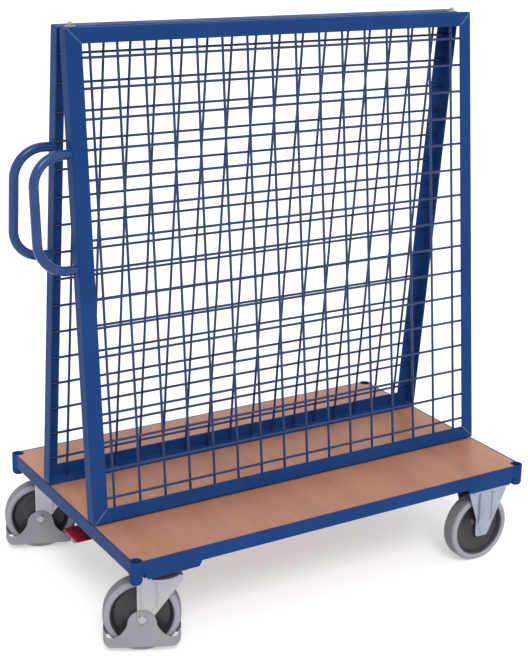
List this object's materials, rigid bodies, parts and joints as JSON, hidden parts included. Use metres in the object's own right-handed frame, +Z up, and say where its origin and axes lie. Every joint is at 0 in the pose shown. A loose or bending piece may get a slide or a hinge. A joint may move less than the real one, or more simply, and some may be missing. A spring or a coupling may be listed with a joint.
{
  "type": "mesh panel trolley",
  "caption": "Push trolley with a flush wood deck and two wire-mesh panels leaning together as an A-frame, push handles, swivel and fixed castors, and a central foot brake.",
  "frame": {"origin": "centre of the overall outline on the floor; the platform's own middle lies 53 mm towards +X of it because the handles stand out at the other end", "axes": "+X from the push handles to the nose end, +Y to the left seen in that direction, +Z up"},
  "size_m": [1.356, 0.8113, 1.5523],
  "materials": {
    "blue_paint": "semi-gloss",
    "blue_wire": "semi-gloss",
    "deck_laminate": "satin",
    "zinc_steel": "satin",
    "dark_steel": "satin",
    "grey_plastic": "matte",
    "red_plastic": "satin",
    "bearing_plastic": "satin",
    "hub_plastic": "satin",
    "grey_tyre": "matte"
  },
  "bodies": {
    "frame": {"right_rim": "blue_paint", "left_rim": "blue_paint", "front_rim": "blue_paint", "rear_rim": "blue_paint", "corner_tubes": "blue_paint", "cross_members": "blue_paint", "castor_carriers": "blue_paint", "deck_board": "deck_laminate", "deck_screws": "zinc_steel", "right_bottom_rail": "blue_paint", "right_top_rail": "blue_paint", "right_rear_stile": "blue_paint", "right_front_stile": "blue_paint", "right_mesh": "blue_wire", "left_bottom_rail": "blue_paint", "left_top_rail": "blue_paint", "left_rear_stile": "blue_paint", "left_front_stile": "blue_paint", "left_mesh": "blue_wire", "right_handle": "blue_paint", "left_handle": "blue_paint", "ridge_ties": "blue_paint", "ridge_bolts": "zinc_steel", "castor_bolts": "zinc_steel", "swivel_plates": "zinc_steel", "swivel_races": "zinc_steel", "kingpins": "zinc_steel", "right_fixed_fork": "zinc_steel", "left_fixed_fork": "zinc_steel", "fixed_axles": "zinc_steel", "fixed_bushes": "zinc_steel", "brake_shaft_brackets": "zinc_steel"},
    "right_swivel": {"right_swivel_fork": "zinc_steel", "right_swivel_axle": "zinc_steel", "right_swivel_bush": "zinc_steel", "right_foot_guard": "grey_plastic"},
    "left_swivel": {"left_swivel_fork": "zinc_steel", "left_swivel_axle": "zinc_steel", "left_swivel_bush": "zinc_steel", "left_foot_guard": "grey_plastic"},
    "rear_right_wheel": {"rear_right_bearing": "bearing_plastic", "rear_right_hub": "hub_plastic", "rear_right_tyre": "grey_tyre"},
    "rear_left_wheel": {"rear_left_bearing": "bearing_plastic", "rear_left_hub": "hub_plastic", "rear_left_tyre": "grey_tyre"},
    "front_right_wheel": {"front_right_bearing": "bearing_plastic", "front_right_hub": "hub_plastic", "front_right_tyre": "grey_tyre"},
    "front_left_wheel": {"front_left_bearing": "bearing_plastic", "front_left_hub": "hub_plastic", "front_left_tyre": "grey_tyre"},
    "brake": {"brake_shaft": "zinc_steel", "brake_pedal_arm": "zinc_steel", "brake_pedal_pad": "red_plastic"},
    "right_pin": {"right_brake_pin": "dark_steel"},
    "left_pin": {"left_brake_pin": "dark_steel"}
  },
  "joints": [
    {"name": "right_swivel_turn", "type": "hinge", "parent": "frame", "child": "right_swivel", "pos_m": [-0.464, -0.333, 0.2], "axis": [0, 0, 1], "continuous": true},
    {"name": "left_swivel_turn", "type": "hinge", "parent": "frame", "child": "left_swivel", "pos_m": [-0.464, 0.333, 0.2], "axis": [0, 0, 1], "continuous": true},
    {"name": "rear_right_wheel_spin", "type": "hinge", "parent": "right_swivel", "child": "rear_right_wheel", "pos_m": [-0.50445, -0.31327, 0.1], "axis": [0.4384, 0.8988, 0], "continuous": true},
    {"name": "rear_left_wheel_spin", "type": "hinge", "parent": "left_swivel", "child": "rear_left_wheel", "pos_m": [-0.50601, 0.34913, 0.1], "axis": [0.3584, 0.9336, 0], "continuous": true},
    {"name": "front_right_wheel_spin", "type": "hinge", "parent": "frame", "child": "front_right_wheel", "pos_m": [0.553, -0.343, 0.1], "axis": [0, 1, 0], "continuous": true},
    {"name": "front_left_wheel_spin", "type": "hinge", "parent": "frame", "child": "front_left_wheel", "pos_m": [0.553, 0.343, 0.1], "axis": [0, 1, 0], "continuous": true},
    {"name": "brake_pedal_press", "type": "hinge", "parent": "frame", "child": "brake", "pos_m": [-0.456, 0, 0.256], "axis": [0, -1, 0], "range_deg": [0, 25]},
    {"name": "right_pin_push", "type": "slide", "parent": "frame", "child": "right_pin", "axis": [0, 0, -1], "range_m": [0, 0.0034]},
    {"name": "left_pin_push", "type": "slide", "parent": "frame", "child": "left_pin", "axis": [0, 0, -1], "range_m": [0, 0.0034]}
  ],
  "couplings": [
    {"joint": "right_pin_push", "follows": "brake_pedal_press", "m_per_rad": 0.0076},
    {"joint": "left_pin_push", "follows": "brake_pedal_press", "m_per_rad": 0.0076}
  ]
}
